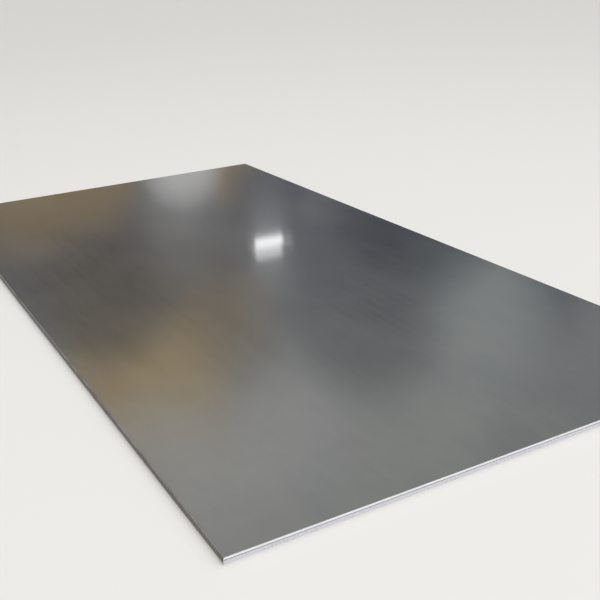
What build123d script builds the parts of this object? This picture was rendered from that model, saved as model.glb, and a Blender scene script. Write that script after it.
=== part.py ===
from build123d import *
import os

# A rectangular steel plate, rolled with a mill edge along both long sides and cut to length on a guillotine.
# Sizes are in millimetres. X runs across the width, Y along the length and Z up.
# The origin is the centre of the underside, on which the plate lies.

# Overall size of the plate, measured over the crowns of the mill edges and over the sheared lands.
width = 1500.0
length = 3000.0
thickness = 18.0

# Long sides, left as they came off the rolls: a crowned face between two rounded arrises. Each arris reaches
# as far across the flat as down the side, runs on from the crown smoothly and meets the flat in a faint crease.
mill_crown = 0.8
mill_arris = 2.0

# Ends, cut through by two straight blades. From the side where the blade went in they have a drawn-in
# rollover, a land burnished by the blade's flank, and a fracture that leans back across the blades' clearance.
rollover_reach = 2.0
rollover_drop = 0.9
burnished_land = 5.0
blade_clearance = 1.3
fracture_hollow = 0.6

# The two arrises of a mill edge never take up more than this share of the thickness each.
largest_arris_share = 0.4
arris = min(mill_arris, largest_arris_share * thickness)


def sheared_end():
    """Outline of the front end in the Y-Z plane, from the top surface down to the underside."""
    front = -length / 2
    land_top = thickness - rollover_drop
    land_foot = land_top - burnished_land
    rollover = EllipticalCenterArc(
        (front + rollover_reach, land_top), rollover_reach, rollover_drop, 90, arc_size=90
    )
    land = Line((front, land_top), (front, land_foot))
    fracture = SagittaArc((front, land_foot), (front + blade_clearance, 0), fracture_hollow)
    return Curve() + [rollover, land, fracture]


def cut_length():
    """A block as wide as the plate whose two ends are sheared. Its outline is drawn in the Y-Z plane.

    The blade went in from above at the front end, and from below at the back end, so the back end is
    the front one turned half round about the middle of the plate.
    """
    front_end = sheared_end()
    middle = Axis((0, thickness / 2), (0, 0, 1))
    back_end = front_end.rotate(middle, 180)
    underside = Line(front_end @ 1, back_end @ 0)
    top = Line(back_end @ 1, front_end @ 0)
    outline = make_face(Curve() + [front_end, underside, back_end, top])
    return extrude(Plane.YZ.offset(-width / 2) * outline, amount=width)


def mill_edge():
    """Outline of the right-hand long side in the X-Z plane, from the underside up to the top surface."""
    crown = width / 2
    face = crown - mill_crown
    side = ThreePointArc((face, arris), (crown, thickness / 2), (face, thickness - arris))
    lower_arris = TangentArc(side @ 0, (face - arris, 0), tangent=-(side % 0))
    upper_arris = TangentArc(side @ 1, (face - arris, thickness), tangent=side % 1)
    return Curve() + [lower_arris, side, upper_arris]


def rolled_strip():
    """The strip as it left the rolls: its cross-section, in the X-Z plane, run along the whole length."""
    right_edge = mill_edge()
    left_edge = mirror(right_edge, about=Plane.YZ)
    flat_edge = width / 2 - mill_crown - arris
    flats = [Line((-flat_edge, height), (flat_edge, height)) for height in (0, thickness)]
    section = make_face(Curve() + [right_edge, left_edge, *flats])
    return extrude(Plane.XZ.offset(-length / 2) * section, amount=length)


def steel_plate():
    """The plate: the rolled strip where it lies between its two sheared ends."""
    return rolled_strip() & cut_length()


os.makedirs("parts", exist_ok=True)
export_step(steel_plate(), "parts/steel_plate.step")
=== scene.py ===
"""A hot-rolled steel plate with rounded mill edges and guillotine-sheared ends, on a pale studio floor.

The file is laid out as an add-on: the sizes and colours are properties, the plate and the stage are
operators, and a panel in the 3D view's sidebar lists them. X runs across the width of the plate, Y along
its length and Z up, in metres, as in the frame.
"""
import math

import bmesh
import bpy
from bpy.props import FloatProperty, FloatVectorProperty, IntProperty, PointerProperty
from mathutils import Matrix, Vector


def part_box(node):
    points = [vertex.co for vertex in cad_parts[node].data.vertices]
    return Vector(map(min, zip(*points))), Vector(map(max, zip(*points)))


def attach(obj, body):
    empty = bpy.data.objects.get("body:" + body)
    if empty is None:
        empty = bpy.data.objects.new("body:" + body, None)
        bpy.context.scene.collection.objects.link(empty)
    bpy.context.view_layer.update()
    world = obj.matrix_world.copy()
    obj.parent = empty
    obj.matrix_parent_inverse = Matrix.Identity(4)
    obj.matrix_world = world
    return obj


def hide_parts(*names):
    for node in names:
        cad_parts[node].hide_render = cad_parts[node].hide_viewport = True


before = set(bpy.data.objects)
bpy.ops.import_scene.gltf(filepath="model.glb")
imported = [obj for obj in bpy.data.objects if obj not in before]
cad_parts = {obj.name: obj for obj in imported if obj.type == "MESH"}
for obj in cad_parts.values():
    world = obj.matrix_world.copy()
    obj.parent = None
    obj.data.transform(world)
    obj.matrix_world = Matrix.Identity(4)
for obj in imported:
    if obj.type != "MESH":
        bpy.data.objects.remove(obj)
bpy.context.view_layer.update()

bl_info = {
    "name": "Sheared Steel Plate",
    "version": (1, 0, 0),
    "blender": (4, 5, 0),
    "location": "View3D > Sidebar > Steel Plate",
    "description": "Models a hot-rolled steel plate with mill edges and sheared ends, and a studio for it",
    "category": "Add Mesh",
}

NODE = "steel_plate"
PIECE = "hot_rolled_plate"
MM = 0.001

# Places closer together than this count as the same.
HAIR = 0.01 * MM

LOW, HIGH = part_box(NODE)
PLATE_SIZE = HIGH - LOW


def linear(hex_colour):
    """The linear RGB of an sRGB hex colour."""
    parts = [int(hex_colour[place:place + 2], 16) / 255 for place in (1, 3, 5)]
    return [part / 12.92 if part <= 0.04045 else ((part + 0.055) / 1.055) ** 2.4 for part in parts]


def rgba(colour):
    """A colour property with full alpha, as the shader sockets take it."""
    return (*colour, 1.0)


def length_property(name, description, default):
    """A size, given in millimetres, as a length property in metres."""
    return FloatProperty(name=name, description=description, default=default * MM, min=0.0, unit="LENGTH")


def colour_property(name, description, hex_colour):
    """An sRGB hex colour as a colour property."""
    return FloatVectorProperty(
        name=name, description=description, default=linear(hex_colour), subtype="COLOR", min=0.0, max=1.0
    )


class PlateSizes(bpy.types.PropertyGroup):
    """Sizes of the plate's edges, and how finely they are built."""

    mill_crown: length_property("Mill crown", "How far the long sides bulge in the middle", 0.8)
    mill_arris: length_property("Mill arris", "How far the rounded arrises of the long sides reach", 2.0)
    rollover_reach: length_property("Rollover reach", "How far the drawn-in edge of the ends goes in", 2.0)
    rollover_drop: length_property("Rollover drop", "How deep the drawn-in edge of the ends goes", 0.9)
    burnished_land: length_property("Burnished land", "Height of the band that the blade burnished", 5.0)
    blade_clearance: length_property("Blade clearance", "How far the fracture leans back", 1.3)
    fracture_hollow: length_property("Fracture hollow", "How hollow the fracture is", 0.6)
    land_waver: length_property("Land waver", "How far the foot of the land wanders up or down", 0.45)
    land_waver_size: length_property("Land waver size", "Length of the waves in the land's foot", 9)
    fracture_tear: length_property("Fracture tear", "Deepest pits of the torn fracture", 0.5)
    fracture_tear_size: length_property("Fracture tear size", "Size of the pits of the fracture", 5)
    mill_waver: length_property("Mill edge waver", "Deepest hollows of the rolled long sides", 0.3)
    mill_waver_size: length_property("Mill edge waver size", "Size of the hollows of the long sides", 30)
    support_band: length_property("Support band", "Band that keeps the flats flat up to their edges", 1.5)
    columns: IntProperty(name="Columns", description="Squares across the flats", default=30, min=2)
    rows: IntProperty(name="Rows", description="Squares along the flats", default=60, min=2)
    end_cuts: IntProperty(name="End cuts", description="Cuts in a square's edge at the ends", default=24)
    side_cuts: IntProperty(name="Side cuts", description="Cuts in a square's edge at the sides", default=4)
    rollover_rows: IntProperty(name="Rollover rows", description="Rows of faces down a rollover", default=5)
    land_rows: IntProperty(name="Land rows", description="Rows of faces down a land", default=5)
    middle_rows: IntProperty(name="Middle rows", description="Rows of faces between the lands", default=6)


class PlateFinish(bpy.types.PropertyGroup):
    """Colours of the plate's surfaces, and the sizes and depths of what patterns them.

    The grains, the scratches and the streaks down the land are mostly less than half a millimetre wide on
    real plate. That is too fine to show in the render, so they are drawn as coarse as they need to show.
    """

    scale_light: colour_property("Scale, light", "Lighter patches of the rolled scale", "#80817f")
    scale_dark: colour_property("Scale, dark", "Darker patches of the rolled scale", "#727475")
    scale_rubbed: colour_property("Scale, rubbed", "Scale rubbed off to the steel", "#b5b5b4")
    cloud_width: length_property("Cloud width", "Width of the broad clouds in the scale", 240)
    cloud_length: length_property("Cloud length", "Length of the broad clouds in the scale", 384)
    mottle_width: length_property("Mottle width", "Width of the mottle in the scale", 38)
    mottle_length: length_property("Mottle length", "Length of the mottle in the scale", 57)
    scale_grain: length_property("Scale grain", "Size of the fine grain of the scale", 3)
    scale_grain_depth: length_property("Scale grain depth", "Depth of the fine grain of the scale", 0.002)
    roll_streak_width: length_property("Roll streak width", "Width of the streaks from the rolls", 16)
    roll_streak_length: length_property("Roll streak length", "Length of the streaks from the rolls", 1100)
    roll_wave_width: length_property("Roll wave width", "Width of the waves left by levelling", 420)
    roll_wave_length: length_property("Roll wave length", "Length of the waves left by levelling", 588)
    roll_wave_depth: length_property("Roll wave depth", "Depth of the waves left by levelling", 0.3)
    scratch_width: length_property("Scratch width", "Width of the handling scratches", 1.6)
    scratch_length: length_property("Scratch length", "Length of the handling scratches", 130)
    scratch_strength: FloatProperty(
        name="Scratch strength",
        description="How far the handling scratches go down to the steel",
        default=0.2,
        min=0.0,
        max=1.0,
        subtype="FACTOR",
    )
    land: colour_property("Land", "Steel burnished by the blade", "#fcfdff")
    land_streak: colour_property("Land streaks", "Duller streaks down the burnished steel", "#eceef2")
    land_streak_width: length_property("Land streak width", "Width of the streaks down the land", 1.4)
    land_streak_length: length_property("Land streak length", "Length of the streaks down the land", 28)
    land_streak_depth: length_property("Land streak depth", "Depth of the streaks down the land", 0.03)
    land_patch: length_property("Land patches", "Size of the broad patches of the land", 35)
    fracture: colour_property("Fracture", "Torn steel below the land", "#e9e8ef")
    # Also the colour of the line of painted shade just under the land.
    fracture_pit_and_painted_shade: colour_property("Fracture pits", "Pits of the torn steel", "#94949e")
    fracture_grain: length_property("Fracture grain", "Size of the grain of the torn steel", 1.3)
    fracture_grain_depth: length_property("Fracture grain depth", "Depth of the torn steel's grain", 0.12)
    tear_width: length_property("Tear width", "Width of the short tears down the fracture", 2.08)
    tear_length: length_property("Tear length", "Length of the short tears down the fracture", 7.8)
    tear_depth: length_property("Tear depth", "Depth of the short tears down the fracture", 0.25)
    # A line of painted shade just under the land, where the fracture steps back from it.
    painted_shade_height: length_property("Shadow height", "Height of the dark line under the land", 1.5)
    painted_shade_end: length_property("Shadow end", "How far below the land the dark line has faded out", 3.5)
    mill_edge: colour_property("Mill edge", "Dull scale of the long sides", "#86827e")
    mill_edge_dark: colour_property("Mill edge, dark", "Darker patches of the long sides", "#6b6865")
    # The arrises' lighter colour: handling wear, and a painted highlight along them.
    mill_edge_rubbed_and_highlight: colour_property("Mill edge, rubbed", "Arrises rubbed in handling", "#b4b0ab")
    mill_patch_height: length_property("Mill patch height", "Height of the long sides' patches", 28)
    mill_patch_length: length_property("Mill patch length", "Length of the long sides' patches", 70)
    mill_patch_depth: length_property("Mill patch depth", "Depth of the long sides' patches", 0.3)
    mill_grain_height: length_property("Mill grain height", "Height of the long sides' grain", 2)
    mill_grain_length: length_property("Mill grain length", "Length of the long sides' grain", 4)
    mill_grain_depth: length_property("Mill grain depth", "Depth of the long sides' grain", 0.05)


class StudioSettings(bpy.types.PropertyGroup):
    """Colours of the floor and of the light round the plate, and the camera's place, angle and lens."""

    floor: colour_property("Floor", "Pale studio floor", "#e8e6e2")
    horizon: colour_property("Horizon", "Surround just above the floor", "#dededc")
    front: colour_property("Front surround", "High surround in front and to the sides", "#ffffff")
    front_low: colour_property("Low front surround", "Low surround in front and to the sides", "#c0c2c4")
    dusk: colour_property("Low surround at the back", "What the far part of the plate mirrors", "#696e7a")
    sky: colour_property("High surround at the back", "What the near part of the plate mirrors", "#ebece8")
    overhead: colour_property("Overhead", "Soft light overhead", "#ffffff")
    warm_glow: colour_property("Warm glow", "Warm light at the back, to the left", "#ffd88a")
    warm_haze: colour_property("Warm haze", "Dimmer warm light beside the warm glow", "#a08c70")
    warm_wall: colour_property("Warm wall", "Dim warm surround low at the back, to the left", "#a78f69")
    cool_glow: colour_property("Cool glow", "Cool light at the back, to the right", "#d8dedd")
    shade: colour_property("Shade", "Darkest patches at the back", "#3c4252")
    half_shade: colour_property("Half shade", "Darker patches between the glows", "#84878b")
    camera_place: FloatVectorProperty(
        name="Camera place",
        description="Where the camera stands",
        default=(-1.281, -2.8512, 1.0872),
        unit="LENGTH",
    )
    camera_heading: FloatProperty(
        name="Heading",
        description="Camera's turn from +Y towards +X",
        default=math.radians(28.054),
        unit="ROTATION",
    )
    camera_pitch: FloatProperty(
        name="Pitch",
        description="How far the camera looks down",
        default=math.radians(21.143),
        unit="ROTATION",
    )
    camera_roll: FloatProperty(
        name="Roll",
        description="How far the camera leans to the right",
        default=math.radians(2.650),
        unit="ROTATION",
    )
    camera_lens: FloatProperty(
        name="Focal length",
        description="Focal length in millimetres on a 36 mm sensor",
        default=55.28,
        unit="CAMERA",
    )


def shear_recess(sizes, depth):
    """How far a sheared end lies behind its land, at a depth below the side where the blade went in.

    The fracture leans back from the foot of the land, and a parabola hollows it out.
    """
    land_foot = sizes.rollover_drop + sizes.burnished_land
    if depth < sizes.rollover_drop:
        above = 1 - depth / sizes.rollover_drop
        return sizes.rollover_reach * (1 - math.sqrt(1 - above ** 2))
    if depth <= land_foot:
        return 0.0
    share = (depth - land_foot) / (PLATE_SIZE.z - land_foot)
    return sizes.blade_clearance * share + sizes.fracture_hollow * 4 * share * (1 - share)


def mill_recess(sizes, height):
    """How far a long side lies behind its crown at a height above the underside.

    Each arris is an arc that runs on smoothly from the crowned face, and meets the flat in a faint crease.
    """
    crown, arris = sizes.mill_crown, sizes.mill_arris
    half = PLATE_SIZE.z / 2
    crown_half = half - arris
    crown_radius = (crown_half ** 2 + crown ** 2) / (2 * crown)
    off_middle = abs(height - half)
    if off_middle <= crown_half:
        return crown_radius - math.sqrt(crown_radius ** 2 - off_middle ** 2)
    lean = math.asin(crown_half / crown_radius)
    arris_radius = arris / (math.cos(lean) - math.sin(lean))
    up_the_arc = off_middle - crown_half + arris_radius * math.sin(lean)
    return crown + arris_radius * math.cos(lean) - math.sqrt(arris_radius ** 2 - up_the_arc ** 2)


class Outline:
    """The rectangle that the plate's sides make at one height."""

    def __init__(self, sizes, height):
        front = LOW.y + shear_recess(sizes, PLATE_SIZE.z - height)
        back = HIGH.y - shear_recess(sizes, height)
        self.height = height
        self.width = PLATE_SIZE.x - 2 * mill_recess(sizes, height)
        self.length = back - front
        self.centre = Vector(((LOW.x + HIGH.x) / 2, (front + back) / 2, height))


def row_heights(sizes):
    """Heights of the rows of the sides, close together where a rollover or an arris is tight."""
    drop = sizes.rollover_drop
    land_foot = drop + sizes.burnished_land
    middle = PLATE_SIZE.z - 2 * land_foot
    rollover_step = math.pi / 2 / sizes.rollover_rows
    heights = [drop * (1 - math.cos(rollover_step * row)) for row in range(sizes.rollover_rows)]
    heights += [drop + sizes.burnished_land * row / sizes.land_rows for row in range(sizes.land_rows)]
    lower_rows = list(heights)
    heights += [land_foot + middle * row / sizes.middle_rows for row in range(sizes.middle_rows + 1)]
    heights += [PLATE_SIZE.z - height for height in reversed(lower_rows)]
    return heights


def deselect_everything():
    """Leaves nothing selected, as an operator acts on all that is."""
    bpy.ops.object.select_all(action="DESELECT")
    bpy.context.view_layer.objects.active = None


def select_only(piece):
    """Leaves the one piece selected and active."""
    deselect_everything()
    piece.select_set(True)
    bpy.context.view_layer.objects.active = piece


def select_edges(piece, wanted):
    """In edit mode, selects just the edges for which wanted(edge) is true."""
    bpy.ops.mesh.select_all(action="DESELECT")
    shape = bmesh.from_edit_mesh(piece.data)
    for edge in shape.edges:
        if wanted(edge):
            edge.select_set(True)
    bmesh.update_edit_mesh(piece.data)


def rim_edges(across_the_end):
    """A test for the edges on the open rim of the flat, along its short ends or along its long sides."""
    def wanted(edge):
        run = edge.verts[1].co - edge.verts[0].co
        return edge.is_boundary and (abs(run.x) > abs(run.y)) == across_the_end
    return wanted


def add_flat(sizes, outline):
    """The underside: squares of about 50 mm, with a finely cut rim and a narrow support band inside it."""
    bpy.ops.mesh.primitive_grid_add(
        x_subdivisions=sizes.columns, y_subdivisions=sizes.rows, size=1.0, location=outline.centre
    )
    piece = bpy.context.active_object
    piece.name = PIECE
    piece.scale = (outline.width, outline.length, 1.0)
    bpy.ops.object.transform_apply(location=True, rotation=True, scale=True)
    bpy.ops.object.mode_set(mode="EDIT")
    bpy.ops.mesh.select_mode(type="EDGE")
    select_edges(piece, rim_edges(across_the_end=True))
    bpy.ops.mesh.subdivide(number_cuts=sizes.end_cuts)
    select_edges(piece, rim_edges(across_the_end=False))
    bpy.ops.mesh.subdivide(number_cuts=sizes.side_cuts)
    bpy.ops.mesh.select_mode(type="FACE")
    bpy.ops.mesh.select_all(action="SELECT")
    bpy.ops.mesh.inset(thickness=sizes.support_band, use_boundary=True, use_even_offset=True)
    return piece


def raise_sides(piece, outlines):
    """Draws the rim up row by row, each row as wide and as long as the plate is at its height."""
    bpy.ops.mesh.select_mode(type="EDGE")
    select_edges(piece, lambda edge: edge.is_boundary)
    for below, above in zip(outlines, outlines[1:]):
        growth = (above.width / below.width, above.length / below.length, 1.0)
        bpy.ops.mesh.extrude_region_move(TRANSFORM_OT_translate={"value": above.centre - below.centre})
        bpy.ops.transform.resize(value=growth, center_override=above.centre)


def close_top(piece, bottom, top):
    """Copies the underside up to the last row and welds it on there."""
    bpy.ops.mesh.select_mode(type="FACE")
    bpy.ops.mesh.select_all(action="DESELECT")
    shape = bmesh.from_edit_mesh(piece.data)
    for face in shape.faces:
        if all(vertex.co.z < bottom.height + HAIR for vertex in face.verts):
            face.select_set(True)
    bmesh.update_edit_mesh(piece.data)
    bpy.ops.mesh.duplicate()
    bpy.ops.transform.translate(value=top.centre - bottom.centre)
    bpy.ops.mesh.select_all(action="SELECT")
    bpy.ops.mesh.remove_doubles(threshold=HAIR / 2)
    bpy.ops.mesh.normals_make_consistent(inside=False)
    bpy.ops.object.mode_set(mode="OBJECT")


def build_plate(sizes):
    """The plate as one closed shell."""
    outlines = [Outline(sizes, height) for height in row_heights(sizes)]
    deselect_everything()
    piece = add_flat(sizes, outlines[0])
    raise_sides(piece, outlines)
    close_top(piece, outlines[0], outlines[-1])
    return piece


def roughen(piece, wanted, direction, strength, size, still=0.0):
    """Moves the vertices for which wanted(place) is true along X, Y or Z, by a noise with blots of a size.

    The noise goes from 0 to 1. Where it has the value that is given as still, nothing moves.
    """
    places = [vertex.index for vertex in piece.data.vertices if wanted(vertex.co)]
    piece.vertex_groups.new(name="Relief").add(places, 1.0, "REPLACE")
    noise = bpy.data.textures.new("relief_noise", "CLOUDS")
    noise.noise_scale = size
    noise.noise_depth = 2
    mover = piece.modifiers.new("Relief", "DISPLACE")
    mover.texture = noise
    mover.vertex_group = "Relief"
    mover.direction = direction
    mover.mid_level = still
    mover.strength = strength
    bpy.ops.object.modifier_apply(modifier=mover.name)
    piece.vertex_groups.clear()
    bpy.data.textures.remove(noise)


def relieve_end(piece, sizes, end, land_foot, inwards):
    """Tears the fracture of a sheared end into the steel, and lets the foot of its land wander."""
    furthest_in = sizes.blade_clearance + 2 * sizes.fracture_hollow

    def torn(place):
        return (land_foot - place.z) * inwards > HAIR and abs(place.y - end) < furthest_in

    def on_foot(place):
        return abs(place.z - land_foot) < HAIR and abs(place.y - end) < HAIR

    roughen(piece, torn, "Y", inwards * sizes.fracture_tear, sizes.fracture_tear_size)
    roughen(piece, on_foot, "Z", 2 * sizes.land_waver, sizes.land_waver_size, still=0.5)


def relieve_side(piece, sizes, side, inwards):
    """Sinks shallow hollows into a long side."""
    furthest_in = sizes.mill_crown + sizes.mill_arris - HAIR

    def rolled(place):
        return HAIR < place.z < PLATE_SIZE.z - HAIR and abs(place.x - side) < furthest_in

    roughen(piece, rolled, "X", inwards * sizes.mill_waver, sizes.mill_waver_size)


def relieve_edges(piece, sizes):
    """Relief of the ends and the long sides, which never stands out of the plate.

    It goes into the steel, or, at the foot of a land, up and down the face of the end.
    """
    select_only(piece)
    land_foot = sizes.rollover_drop + sizes.burnished_land
    relieve_end(piece, sizes, end=LOW.y, land_foot=PLATE_SIZE.z - land_foot, inwards=1)
    relieve_end(piece, sizes, end=HIGH.y, land_foot=land_foot, inwards=-1)
    relieve_side(piece, sizes, side=LOW.x, inwards=1)
    relieve_side(piece, sizes, side=HIGH.x, inwards=-1)


# Parts of a noise's range: nearly all of it for soft blots, its middle for crisper ones, its upper half for
# the pits and the tears of torn steel, and the tips of its peaks for a few fine lines.
BROAD = (0.3, 0.7)
CRISP = (0.35, 0.65)
PITS = (0.45, 0.75)
TEARS = (0.5, 0.75)
PEAKS = (0.82, 0.90)

# Length of a pattern, in metres, through the plate's thickness, over which it hardly changes.
EVEN = 1.0

# Degrees from the plate's length at which the handling scratches run.
SCRATCH_TURNS = (14.0, -31.0)

# The outer share of an arris that is lightened in full, partly by handling wear and partly as a painted
# highlight, and how much of that lightening shows, from the dark patches of the scale to its light ones.
WORN_AND_HIGHLIGHTED_IN_FULL = 0.4
WORN_AND_HIGHLIGHTED_PATCHES = (0.3, 0.6)
WEAR_AND_HIGHLIGHT = (0.3, 0.9)

# Sockets of a Mix node for colours: how much of the second colour, the two colours, and what comes out.
SHARE, FIRST, SECOND, MIXED = 0, 6, 7, 2


def add_node(tree, kind, settings=None, inputs=None):
    """Adds one node, sets its properties, and gives each named input a value or a link."""
    node = tree.nodes.new(kind)
    for name, value in (settings or {}).items():
        setattr(node, name, value)
    for name, value in (inputs or {}).items():
        if isinstance(value, bpy.types.NodeSocket):
            tree.links.new(value, node.inputs[name])
        else:
            node.inputs[name].default_value = value
    return node


def new_material(name):
    """A node material with nothing but its Principled shader."""
    material = bpy.data.materials.new(name)
    material.use_nodes = True
    shader = material.node_tree.nodes["Principled BSDF"]
    return material, material.node_tree, shader


def pattern(tree, place, size, detail, roughness=0.5):
    """A noise from 0 to 1, whose blots are as long along X, Y and Z as size says, in metres."""
    scale = [1 / part for part in size]
    sized = add_node(tree, "ShaderNodeMapping", inputs={"Vector": place, "Scale": scale}).outputs[0]
    return add_node(
        tree,
        "ShaderNodeTexNoise",
        inputs={"Vector": sized, "Scale": 1.0, "Detail": detail, "Roughness": roughness},
    ).outputs["Fac"]


def layered(tree, *layers):
    """Adds up layers of pattern. Each names a value, the part of its range that counts, and two levels.

    At the low end of that part and below it, a layer adds its first level. At the high end and above it,
    it adds its second one, and between them it goes softly from the one to the other.
    """
    total = None
    for value, (low, high), first, second in layers:
        layer = add_node(
            tree,
            "ShaderNodeMapRange",
            {"interpolation_type": "SMOOTHSTEP"},
            {"Value": value, "From Min": low, "From Max": high, "To Min": first, "To Max": second},
        ).outputs[0]
        if total is None:
            total = layer
        else:
            total = add_node(tree, "ShaderNodeMath", {"operation": "ADD"}, {0: total, 1: layer}).outputs[0]
    return total


def hot_rolled_scale(finish):
    """Hot-rolled and levelled plate under its thin blue-grey scale, with a trace of oil.

    The scale is a dull dark metal, so most of what it mirrors is blurred. Its smooth skin gives a clear,
    weak image on top, which grows strong at a low angle: the far end of the plate looks polished, the near
    end satin.
    """
    material, tree, shader = new_material("hot_rolled_scale")
    place = add_node(tree, "ShaderNodeTexCoord").outputs["Object"]
    cloud, mottle, grain = finish.cloud_width, finish.mottle_width, finish.scale_grain
    clouds = pattern(tree, place, (cloud, finish.cloud_length, cloud), detail=3.0)
    mottles = pattern(tree, place, (mottle, finish.mottle_length, mottle), detail=3.0)
    grains = pattern(tree, place, (grain, grain, grain), detail=2.0)
    streaks = pattern(tree, place, (finish.roll_streak_width, finish.roll_streak_length, EVEN), detail=2.0)
    waves = pattern(tree, place, (finish.roll_wave_width, finish.roll_wave_length, EVEN), detail=1.0)
    scratches = 0.0
    for turn in SCRATCH_TURNS:
        turned = add_node(
            tree, "ShaderNodeMapping", inputs={"Vector": place, "Rotation": (0, 0, math.radians(turn))}
        ).outputs[0]
        lines = pattern(tree, turned, (finish.scratch_width, finish.scratch_length, EVEN), detail=0.0)
        lines = layered(tree, (lines, PEAKS, 0.0, 1.0))
        scratches = add_node(
            tree, "ShaderNodeMath", {"operation": "MAXIMUM"}, {0: scratches, 1: lines}
        ).outputs[0]
    rubbed = add_node(
        tree, "ShaderNodeMath", {"operation": "MULTIPLY"}, {0: scratches, 1: finish.scratch_strength}
    ).outputs[0]

    # The clouds give most of the tone, and the mottle and the roll streaks a little each.
    tone = layered(tree, (clouds, BROAD, 0.0, 0.6), (mottles, BROAD, 0.0, 0.2), (streaks, BROAD, 0.0, 0.2))
    colour = add_node(
        tree,
        "ShaderNodeMix",
        {"data_type": "RGBA"},
        {SHARE: tone, FIRST: rgba(finish.scale_dark), SECOND: rgba(finish.scale_light)},
    ).outputs[MIXED]
    colour = add_node(
        tree,
        "ShaderNodeMix",
        {"data_type": "RGBA"},
        {SHARE: rubbed, FIRST: colour, SECOND: rgba(finish.scale_rubbed)},
    ).outputs[MIXED]
    tree.links.new(colour, shader.inputs["Base Color"])

    dullness = layered(
        tree, (clouds, BROAD, 0.23, 0.25), (streaks, BROAD, -0.006, 0.01), (grains, BROAD, -0.01, 0.01)
    )
    tree.links.new(dullness, shader.inputs["Roughness"])

    surface = add_node(
        tree, "ShaderNodeBump", inputs={"Height": waves, "Distance": finish.roll_wave_depth}
    ).outputs[0]
    surface = add_node(
        tree,
        "ShaderNodeBump",
        inputs={"Height": grains, "Distance": finish.scale_grain_depth, "Normal": surface},
    ).outputs[0]
    tree.links.new(surface, shader.inputs["Normal"])
    tree.links.new(surface, shader.inputs["Coat Normal"])
    shader.inputs["Metallic"].default_value = 1.0
    shader.inputs["Coat Weight"].default_value = 0.8
    shader.inputs["Coat Roughness"].default_value = 0.06
    return material


def burnished_shear_land(finish):
    """Steel wiped smooth by the flank of the shear blade.

    It is the brightest part of the plate, with fine streaks down it, the way the blade went. It is less
    than half a metal, because its fine streaks gather light from all round.
    """
    material, tree, shader = new_material("burnished_shear_land")
    place = add_node(tree, "ShaderNodeTexCoord").outputs["Object"]
    width, patch = finish.land_streak_width, finish.land_patch
    streaks = pattern(tree, place, (width, width, finish.land_streak_length), detail=3.0)
    patches = pattern(tree, place, (patch, patch, patch), detail=2.0)
    tone = layered(tree, (streaks, CRISP, 0.0, 0.6), (patches, CRISP, 0.0, 0.4))
    colour = add_node(
        tree,
        "ShaderNodeMix",
        {"data_type": "RGBA"},
        {SHARE: tone, FIRST: rgba(finish.land), SECOND: rgba(finish.land_streak)},
    ).outputs[MIXED]
    surface = add_node(
        tree, "ShaderNodeBump", inputs={"Height": streaks, "Distance": finish.land_streak_depth}
    ).outputs[0]
    tree.links.new(colour, shader.inputs["Base Color"])
    tree.links.new(layered(tree, (streaks, BROAD, 0.52, 0.66)), shader.inputs["Roughness"])
    tree.links.new(surface, shader.inputs["Normal"])
    shader.inputs["Metallic"].default_value = 0.3
    return material


def height_towards_blade(tree, place):
    """Height from the middle of the plate towards the side where the blade went in, in metres.

    The blade went in from above at the front end and from below at the back one.
    """
    parts = add_node(tree, "ShaderNodeSeparateXYZ", inputs={0: place})
    below_middle = add_node(
        tree, "ShaderNodeMath", {"operation": "SUBTRACT"}, {0: PLATE_SIZE.z / 2, 1: parts.outputs["Z"]}
    ).outputs[0]
    end = add_node(tree, "ShaderNodeMath", {"operation": "SIGN"}, {0: parts.outputs["Y"]}).outputs[0]
    return add_node(tree, "ShaderNodeMath", {"operation": "MULTIPLY"}, {0: below_middle, 1: end}).outputs[0]


def torn_shear_fracture(sizes, finish):
    """Steel that tore ahead of the blade.

    A matt, pale grey grain with pits and short tears down it, and a line of painted shade where it starts
    below the land, for the shade of the step there. It is less than half a metal, because its broken grain
    gathers light from all round.
    """
    material, tree, shader = new_material("torn_shear_fracture")
    place = add_node(tree, "ShaderNodeTexCoord").outputs["Object"]
    grain, tear = finish.fracture_grain, finish.tear_width
    grains = pattern(tree, place, (grain, grain, grain), detail=4.0, roughness=0.6)
    tears = pattern(tree, place, (tear, tear, finish.tear_length), detail=3.0)
    pits = layered(tree, (grains, PITS, 0.0, 0.4), (tears, TEARS, 0.0, 0.35))
    land_foot = PLATE_SIZE.z / 2 - sizes.rollover_drop - sizes.burnished_land
    # Painted shade: the fracture is darkened in a line just under the land's foot, fading out further down.
    # The darker of it and the pits' own tone is used.
    below_land = (land_foot - finish.painted_shade_end, land_foot - finish.painted_shade_height)
    painted_shade_line = layered(tree, (height_towards_blade(tree, place), below_land, 0.0, 1.0))
    shade = add_node(tree, "ShaderNodeMath", {"operation": "MAXIMUM"}, {0: pits, 1: painted_shade_line}).outputs[0]
    colour = add_node(
        tree,
        "ShaderNodeMix",
        {"data_type": "RGBA"},
        {SHARE: shade, FIRST: rgba(finish.fracture), SECOND: rgba(finish.fracture_pit_and_painted_shade)},
    ).outputs[MIXED]
    surface = add_node(
        tree, "ShaderNodeBump", inputs={"Height": tears, "Distance": finish.tear_depth}
    ).outputs[0]
    surface = add_node(
        tree,
        "ShaderNodeBump",
        inputs={"Height": grains, "Distance": finish.fracture_grain_depth, "Normal": surface},
    ).outputs[0]
    tree.links.new(colour, shader.inputs["Base Color"])
    tree.links.new(layered(tree, (grains, BROAD, 0.55, 0.75)), shader.inputs["Roughness"])
    tree.links.new(surface, shader.inputs["Normal"])
    shader.inputs["Metallic"].default_value = 0.3
    return material


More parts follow.
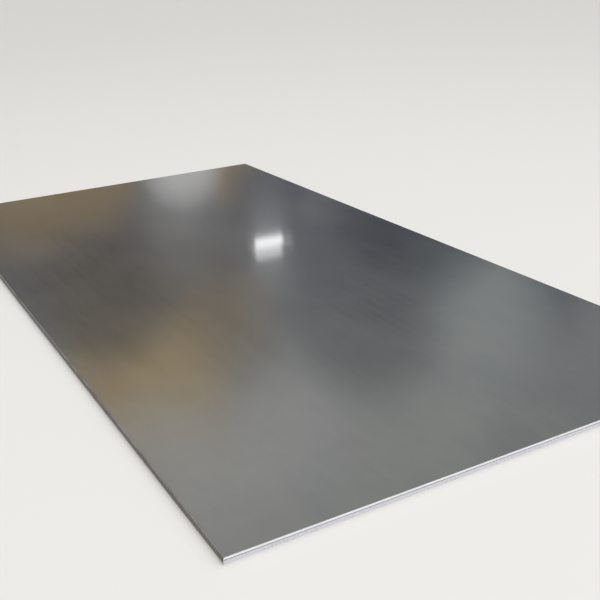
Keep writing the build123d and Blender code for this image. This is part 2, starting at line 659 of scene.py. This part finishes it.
def mill_edge_scale(sizes, finish):
    """The long sides as the rolls left them: free to bulge, so their scale is thicker, dull and patchy.

    Their arrises are lighter, partly rubbed by handling and partly as a painted highlight, and most
    where the scale is light.
    """
    material, tree, shader = new_material("mill_edge_scale")
    place = add_node(tree, "ShaderNodeTexCoord").outputs["Object"]
    patch, grain = finish.mill_patch_height, finish.mill_grain_height
    patches = pattern(tree, place, (patch, finish.mill_patch_length, patch), detail=4.0)
    grains = pattern(tree, place, (grain, finish.mill_grain_length, grain), detail=3.0)
    tone = layered(tree, (patches, CRISP, 0.0, 0.7), (grains, CRISP, 0.0, 0.3))
    colour = add_node(
        tree,
        "ShaderNodeMix",
        {"data_type": "RGBA"},
        {SHARE: tone, FIRST: rgba(finish.mill_edge_dark), SECOND: rgba(finish.mill_edge)},
    ).outputs[MIXED]

    half = PLATE_SIZE.z / 2
    height = add_node(tree, "ShaderNodeSeparateXYZ", inputs={0: place}).outputs["Z"]
    above_middle = add_node(
        tree, "ShaderNodeMath", {"operation": "SUBTRACT"}, {0: height, 1: half}
    ).outputs[0]
    off_middle = add_node(tree, "ShaderNodeMath", {"operation": "ABSOLUTE"}, {0: above_middle}).outputs[0]
    # The arrises' outer rounds get the lighter colour: handling wear, and a painted highlight of the light
    # they would mirror.
    on_arris = (half - sizes.mill_arris, half - WORN_AND_HIGHLIGHTED_IN_FULL * sizes.mill_arris)
    arris = layered(tree, (off_middle, on_arris, 0.0, 1.0))
    arris_wear_and_highlight = layered(tree, (patches, WORN_AND_HIGHLIGHTED_PATCHES, *WEAR_AND_HIGHLIGHT))
    # How much of the lighter colour each place gets: handling wear and painted highlight together.
    rubbed = add_node(tree, "ShaderNodeMath", {"operation": "MULTIPLY"}, {0: arris, 1: arris_wear_and_highlight}).outputs[0]
    colour = add_node(
        tree,
        "ShaderNodeMix",
        {"data_type": "RGBA"},
        {SHARE: rubbed, FIRST: colour, SECOND: rgba(finish.mill_edge_rubbed_and_highlight)},
    ).outputs[MIXED]

    surface = add_node(
        tree, "ShaderNodeBump", inputs={"Height": patches, "Distance": finish.mill_patch_depth}
    ).outputs[0]
    surface = add_node(
        tree,
        "ShaderNodeBump",
        inputs={"Height": grains, "Distance": finish.mill_grain_depth, "Normal": surface},
    ).outputs[0]
    tree.links.new(colour, shader.inputs["Base Color"])
    tree.links.new(layered(tree, (patches, BROAD, 0.5, 0.66)), shader.inputs["Roughness"])
    tree.links.new(surface, shader.inputs["Normal"])
    shader.inputs["Metallic"].default_value = 1.0
    return material


# The plate's surfaces, in the order of its materials.
FLAT, LAND, FRACTURE, MILL_EDGE = range(4)

# Faces that meet at less than this angle are shaded as one smooth surface.
SMOOTH_BELOW = math.radians(35)


def surface_at(sizes, face):
    """Which surface a face belongs to, by its place and its normal."""
    height = face.center.z
    if height < HAIR or height > PLATE_SIZE.z - HAIR:
        return FLAT
    if abs(face.normal.x) > abs(face.normal.y):
        return MILL_EDGE
    depth = PLATE_SIZE.z - height if face.center.y < 0 else height
    if depth < sizes.rollover_drop:
        return FLAT
    return LAND if depth < sizes.rollover_drop + sizes.burnished_land else FRACTURE


def finish_surfaces(piece, sizes, finish):
    """Gives every face the material of its surface, and shades the plate smooth up to its creases."""
    piece.data.materials.append(hot_rolled_scale(finish))
    piece.data.materials.append(burnished_shear_land(finish))
    piece.data.materials.append(torn_shear_fracture(sizes, finish))
    piece.data.materials.append(mill_edge_scale(sizes, finish))
    for face in piece.data.polygons:
        face.material_index = surface_at(sizes, face)
    select_only(piece)
    bpy.ops.object.shade_smooth_by_angle(angle=SMOOTH_BELOW)


# Shares of the side of the plate's UV map. Below the flats it has a strip for each of the four edges.
MAP_MARGIN = 0.01
FLAT_MAP_WIDTH = 0.415
FLAT_MAP_LENGTH = 0.83
EDGES_MAP_HEIGHT = 0.16
RIGHT_STRIP, LEFT_STRIP, FRONT_STRIP, BACK_STRIP = range(4)
STRIPS = 4

# Share of a strip's height that its edge takes up.
EDGE_MAP_SHARE = 0.8

# A face whose normal has a larger share of Z than this is laid out with the flats.
FLAT_SLOPE = 0.7


def place_in_map(face, place):
    """Where a point of a face lies in the plate's UV map.

    The two flats stand side by side, and each thin edge has a strip of its own below them.
    """
    across = (place.x - LOW.x) / PLATE_SIZE.x
    along = (place.y - LOW.y) / PLATE_SIZE.y
    up = place.z / PLATE_SIZE.z
    if face.normal.z > FLAT_SLOPE:
        return MAP_MARGIN + FLAT_MAP_WIDTH * across, EDGES_MAP_HEIGHT + FLAT_MAP_LENGTH * along
    if face.normal.z < -FLAT_SLOPE:
        return 1 - MAP_MARGIN - FLAT_MAP_WIDTH * across, EDGES_MAP_HEIGHT + FLAT_MAP_LENGTH * along
    if abs(face.normal.x) > abs(face.normal.y):
        strip, run = (RIGHT_STRIP, along) if face.normal.x > 0 else (LEFT_STRIP, 1 - along)
    else:
        strip, run = (FRONT_STRIP, across) if face.normal.y < 0 else (BACK_STRIP, 1 - across)
    lift = EDGES_MAP_HEIGHT * (strip + EDGE_MAP_SHARE * up) / STRIPS
    return MAP_MARGIN + (1 - 2 * MAP_MARGIN) * run, MAP_MARGIN + lift


def lay_out_map(piece):
    """A UV map for baking that gives the thin edges more room than their area would."""
    layer = piece.data.uv_layers.new(name="OFBake")
    for face in piece.data.polygons:
        for corner in face.loop_indices:
            place = piece.data.vertices[piece.data.loops[corner].vertex_index].co
            layer.data[corner].uv = place_in_map(face, place)


class STEELPLATE_OT_plate(bpy.types.Operator):
    """Models the plate and finishes its surfaces"""

    bl_idname = "steel_plate.plate"
    bl_label = "Steel Plate"

    def execute(self, context):
        sizes = context.scene.plate_sizes
        finish = context.scene.plate_finish
        piece = build_plate(sizes)
        finish_surfaces(piece, sizes, finish)
        lay_out_map(piece)
        relieve_edges(piece, sizes)
        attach(piece, "root")
        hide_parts(NODE)
        return {"FINISHED"}


# The side of the floor and the radius of the light tent, in metres. Both are wide enough to seem endless.
FLOOR_SIZE = 80.0
TENT_RADIUS = 500.0

# Share of a glow's reach, from its middle, over which it has its full colour.
GLOW_CORE = 0.15

# Where the front of the surround turns into its back, as the share of +Y in a direction.
FRONT_TO_BACK = (0.15, 0.6)


def add_floor(studio):
    """Matt studio paint, rolled on: a pale, even ground without sheen that shows soft shadows."""
    deselect_everything()
    bpy.ops.mesh.primitive_plane_add(size=FLOOR_SIZE, location=(0, 0, LOW.z))
    floor = bpy.context.active_object
    floor.name = "studio_floor"
    material, _, shader = new_material("matt_studio_paint")
    shader.inputs["Base Color"].default_value = rgba(studio.floor)
    shader.inputs["Roughness"].default_value = 0.9
    shader.inputs["Specular IOR Level"].default_value = 0.1
    floor.data.materials.append(material)


def towards(heading, rise):
    """The direction at a heading from +Y towards +X and a rise above the horizon, in degrees."""
    turn, tilt = math.radians(heading), math.radians(rise)
    return Vector((math.sin(turn) * math.cos(tilt), math.cos(turn) * math.cos(tilt), math.sin(tilt)))


def add_glow(tree, direction, surround, colour, heading, rise, reach):
    """Lays a soft round patch of light or shade over the surround.

    It is centred on a heading and a rise, and reaches so many degrees from its middle to its rim.
    """
    middle = towards(heading, rise)
    nearness = add_node(
        tree, "ShaderNodeVectorMath", {"operation": "DOT_PRODUCT"}, {0: direction, 1: middle}
    ).outputs["Value"]
    rim_to_core = (math.cos(math.radians(reach)), math.cos(math.radians(GLOW_CORE * reach)))
    share = layered(tree, (nearness, rim_to_core, 0.0, 1.0))
    return add_node(
        tree, "ShaderNodeMix", {"data_type": "RGBA"}, {SHARE: share, FIRST: surround, SECOND: rgba(colour)}
    ).outputs[MIXED]


def rising_bands(tree, rise, bands):
    """Colours that follow each other smoothly from the horizon up, as pairs of degrees and colour."""
    share = add_node(tree, "ShaderNodeMath", {"operation": "DIVIDE"}, {0: rise, 1: math.pi / 2}).outputs[0]
    ramp = add_node(tree, "ShaderNodeValToRGB", inputs={0: share})
    ramp.color_ramp.interpolation = "EASE"
    stops = ramp.color_ramp.elements
    ready_made = len(stops)
    for number, (degrees, colour) in enumerate(bands):
        stop = stops[number] if number < ready_made else stops.new(1.0)
        stop.position = degrees / 90
        stop.color = rgba(colour)
    return ramp.outputs["Color"]


def surround_light(studio):
    """The light of the surround: bright above, with a low darker band at the back for the plate's depth.

    The patches at the back are what the plate mirrors at the photograph's angle. Of two that overlap, the
    later one lies on top.
    """
    material, tree, shader = new_material("surround_light")
    place = add_node(tree, "ShaderNodeTexCoord").outputs["Object"]
    direction = add_node(
        tree, "ShaderNodeVectorMath", {"operation": "NORMALIZE"}, {0: place}
    ).outputs["Vector"]
    parts = add_node(tree, "ShaderNodeSeparateXYZ", inputs={0: direction})
    rise = add_node(tree, "ShaderNodeMath", {"operation": "ARCSINE"}, {0: parts.outputs["Z"]}).outputs[0]
    front = rising_bands(
        tree, rise, ((4, studio.horizon), (9, studio.front_low), (20, studio.front_low), (32, studio.front))
    )
    back = rising_bands(
        tree,
        rise,
        (
            (4, studio.horizon),
            (9, studio.dusk),
            (20, studio.dusk),
            (29, studio.sky),
            (34, studio.sky),
            (50, studio.front_low),
            (65, studio.overhead),
        ),
    )
    back = add_glow(tree, direction, back, studio.front_low, heading=47, rise=30, reach=8)
    back = add_glow(tree, direction, back, studio.front_low, heading=52, rise=22, reach=7)
    back = add_glow(tree, direction, back, studio.overhead, heading=27, rise=30, reach=5)
    back = add_glow(tree, direction, back, studio.warm_haze, heading=23, rise=22.5, reach=4.2)
    back = add_glow(tree, direction, back, studio.warm_glow, heading=17, rise=26.5, reach=6.6)
    back = add_glow(tree, direction, back, studio.overhead, heading=18, rise=33, reach=8)
    back = add_glow(tree, direction, back, studio.cool_glow, heading=38.8, rise=22.7, reach=6.7)
    back = add_glow(tree, direction, back, studio.warm_wall, heading=11, rise=13, reach=5)
    back = add_glow(tree, direction, back, studio.warm_wall, heading=15, rise=12.5, reach=4.5)
    back = add_glow(tree, direction, back, studio.warm_wall, heading=24, rise=12.5, reach=3)
    back = add_glow(tree, direction, back, studio.half_shade, heading=20, rise=15.5, reach=2.5)
    back = add_glow(tree, direction, back, studio.shade, heading=26.3, rise=14.5, reach=3)
    back = add_glow(tree, direction, back, studio.half_shade, heading=29.8, rise=15.5, reach=2)
    back = add_glow(tree, direction, back, studio.overhead, heading=21, rise=12.5, reach=3)
    back = add_glow(tree, direction, back, studio.shade, heading=15.5, rise=20.2, reach=5.1)
    back = add_glow(tree, direction, back, studio.half_shade, heading=33, rise=23, reach=5.5)
    back = add_glow(tree, direction, back, studio.shade, heading=36, rise=16, reach=6.5)
    backwards = layered(tree, (parts.outputs["Y"], FRONT_TO_BACK, 0.0, 1.0))
    surround = add_node(
        tree, "ShaderNodeMix", {"data_type": "RGBA"}, {SHARE: backwards, FIRST: front, SECOND: back}
    ).outputs[MIXED]
    light = add_node(tree, "ShaderNodeEmission", inputs={"Color": surround})
    tree.nodes.remove(shader)
    tree.links.new(light.outputs[0], tree.nodes["Material Output"].inputs["Surface"])
    material.cycles.emission_sampling = "NONE"
    return material


def add_surround(studio):
    """A light tent far around the plate. The camera looks through it to a pale background."""
    world = bpy.data.worlds.new("studio_background")
    world.use_nodes = True
    world.node_tree.nodes["Background"].inputs["Color"].default_value = rgba(studio.horizon)
    bpy.context.scene.world = world
    deselect_everything()
    bpy.ops.mesh.primitive_uv_sphere_add(segments=64, ring_count=32, radius=TENT_RADIUS)
    tent = bpy.context.active_object
    tent.name = "studio_tent"
    tent.visible_camera = False
    tent.data.materials.append(surround_light(studio))


def add_lamp(name, place, aim, size, radiance, lean=0.0):
    """A soft rectangular lamp, hidden from the camera, that shows in what mirrors it at a given radiance.

    It may lean by some degrees about the direction in which it shines.
    """
    lamp = bpy.data.lights.new(name, "AREA")
    lamp.shape = "RECTANGLE"
    lamp.size, lamp.size_y = size
    # A flat lamp gives off pi times its radiance for each square metre.
    lamp.energy = radiance * math.pi * lamp.size * lamp.size_y
    holder = bpy.data.objects.new(name, lamp)
    bpy.context.scene.collection.objects.link(holder)
    facing = (Vector(aim) - Vector(place)).to_track_quat("-Z", "Y").to_matrix().to_4x4()
    holder.matrix_world = Matrix.Translation(place) @ facing @ Matrix.Rotation(math.radians(lean), 4, "Z")
    holder.visible_camera = False


def add_softboxes():
    """Two wide lamps: one high in front, which lights the front end, and one over the plate's middle."""
    front_end = Vector((0, LOW.y, 0))
    above_front = front_end + towards(heading=174, rise=52) * 6.0
    add_lamp("front_softbox", place=above_front, aim=front_end, size=(9.0, 3.0), radiance=0.9)
    add_lamp("ceiling_softbox", place=(0, 0, 6.5), aim=(0, 0, 0), size=(5.0, 5.0), radiance=0.7)


def add_back_lamps():
    """Three small lamps far behind, which the plate mirrors as one bright mark with a soft halo."""
    mark = Vector((0.195, 0.141, PLATE_SIZE.z))
    distance = 9.0
    lean = 8.0
    core = mark + towards(heading=26.2, rise=17.3) * distance
    glow = mark + towards(heading=26.1, rise=18.2) * distance
    halo = mark + towards(heading=26.4, rise=17.5) * distance
    add_lamp("back_lamp", place=core, aim=mark, size=(0.38, 0.12), radiance=5.1, lean=lean)
    add_lamp("back_lamp_glow", place=glow, aim=mark, size=(0.36, 0.14), radiance=2.2, lean=lean)
    add_lamp("back_lamp_halo", place=halo, aim=mark, size=(0.58, 0.16), radiance=0.6, lean=lean)


def add_camera(studio):
    """The camera, at the photograph's place, angle and focal length."""
    name = "photograph_angle"
    camera = bpy.data.cameras.new(name)
    camera.lens = studio.camera_lens
    camera.sensor_width = 36.0
    camera.clip_end = 200.0
    holder = bpy.data.objects.new(name, camera)
    bpy.context.scene.collection.objects.link(holder)
    turn = (
        Matrix.Rotation(-studio.camera_heading, 4, "Z")
        @ Matrix.Rotation(math.pi / 2 - studio.camera_pitch, 4, "X")
        @ Matrix.Rotation(-studio.camera_roll, 4, "Z")
    )
    holder.matrix_world = Matrix.Translation(studio.camera_place) @ turn
    bpy.context.scene.camera = holder


class STEELPLATE_OT_stage(bpy.types.Operator):
    """Sets up the floor, the light and the camera"""

    bl_idname = "steel_plate.stage"
    bl_label = "Studio"

    def execute(self, context):
        studio = context.scene.plate_studio
        context.scene.view_settings.view_transform = "Standard"
        add_floor(studio)
        add_surround(studio)
        add_softboxes()
        add_back_lamps()
        add_camera(studio)
        return {"FINISHED"}


class STEELPLATE_PT_panel(bpy.types.Panel):
    """Lists the plate and its stage"""

    bl_idname = "STEELPLATE_PT_panel"
    bl_label = "Steel Plate"
    bl_space_type = "VIEW_3D"
    bl_region_type = "UI"
    bl_category = "Steel Plate"

    def draw(self, context):
        column = self.layout.column()
        column.operator(STEELPLATE_OT_plate.bl_idname)
        column.operator(STEELPLATE_OT_stage.bl_idname)


CLASSES = (
    PlateSizes, PlateFinish, StudioSettings, STEELPLATE_OT_plate, STEELPLATE_OT_stage, STEELPLATE_PT_panel,
)


def register():
    for each in CLASSES:
        bpy.utils.register_class(each)
    bpy.types.Scene.plate_sizes = PointerProperty(type=PlateSizes)
    bpy.types.Scene.plate_finish = PointerProperty(type=PlateFinish)
    bpy.types.Scene.plate_studio = PointerProperty(type=StudioSettings)


def unregister():
    del bpy.types.Scene.plate_studio
    del bpy.types.Scene.plate_finish
    del bpy.types.Scene.plate_sizes
    for each in reversed(CLASSES):
        bpy.utils.unregister_class(each)


def main():
    register()
    bpy.ops.steel_plate.plate()
    bpy.ops.steel_plate.stage()


if __name__ == "__main__":
    main()
